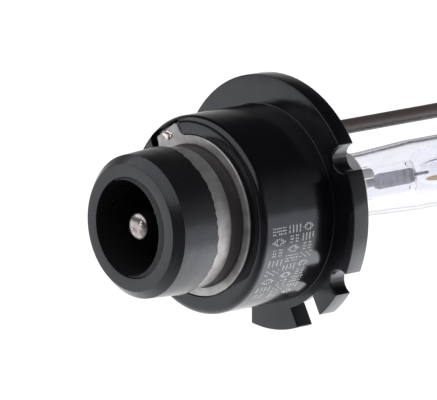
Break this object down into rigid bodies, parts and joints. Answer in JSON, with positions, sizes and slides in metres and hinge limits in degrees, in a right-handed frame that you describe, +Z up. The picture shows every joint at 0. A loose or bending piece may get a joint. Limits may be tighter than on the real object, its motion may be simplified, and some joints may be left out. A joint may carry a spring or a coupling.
{
  "type": "gas-discharge headlight bulb",
  "caption": "Discharge headlight bulb: keyed round plug-in cap with socket nose, contact ring, quartz burner inside a clear outer bulb and a ceramic return tube alongside.",
  "frame": {"origin": "on the bulb axis, in the front face of the flange, which is the reference plane of the cap", "axes": "+X along the bulb axis towards the glass tip, +Z up across the axis, the ceramic return tube 28 degrees from +Z towards +Y"},
  "size_m": [0.0748, 0.032, 0.032],
  "materials": {
    "cap_plastic": "gloss",
    "nose_plastic": "satin",
    "contact_nickel": "satin nickel",
    "weld_metal": "rough",
    "wire_nickel": "drawn",
    "clamp_steel": "satin",
    "quartz": "clear",
    "ceramic": "matte",
    "molybdenum": "satin",
    "tungsten": "satin",
    "halide_salt": "crystalline"
  },
  "bodies": {
    "root": {"base_shell": "cap_plastic", "socket_nose": "nose_plastic", "return_contact_ring": "contact_nickel", "return_lead_weld": "weld_metal", "high_voltage_pin": "contact_nickel", "pin_weld_bead": "weld_metal", "arc_tube": "quartz", "halide_salt": "halide_salt", "rear_foil": "molybdenum", "front_foil": "molybdenum", "rear_electrode": "tungsten", "front_electrode": "tungsten", "rear_lead_wire": "molybdenum", "front_lead_wire": "molybdenum", "outer_bulb": "quartz", "return_wire": "wire_nickel", "ceramic_tube": "ceramic", "lead_joint_weld": "weld_metal", "burner_clamp": "clamp_steel", "retaining_tongue_1": "clamp_steel", "retaining_tongue_2": "clamp_steel", "retaining_tongue_3": "clamp_steel", "retaining_tongue_4": "clamp_steel"}
  },
  "joints": []
}
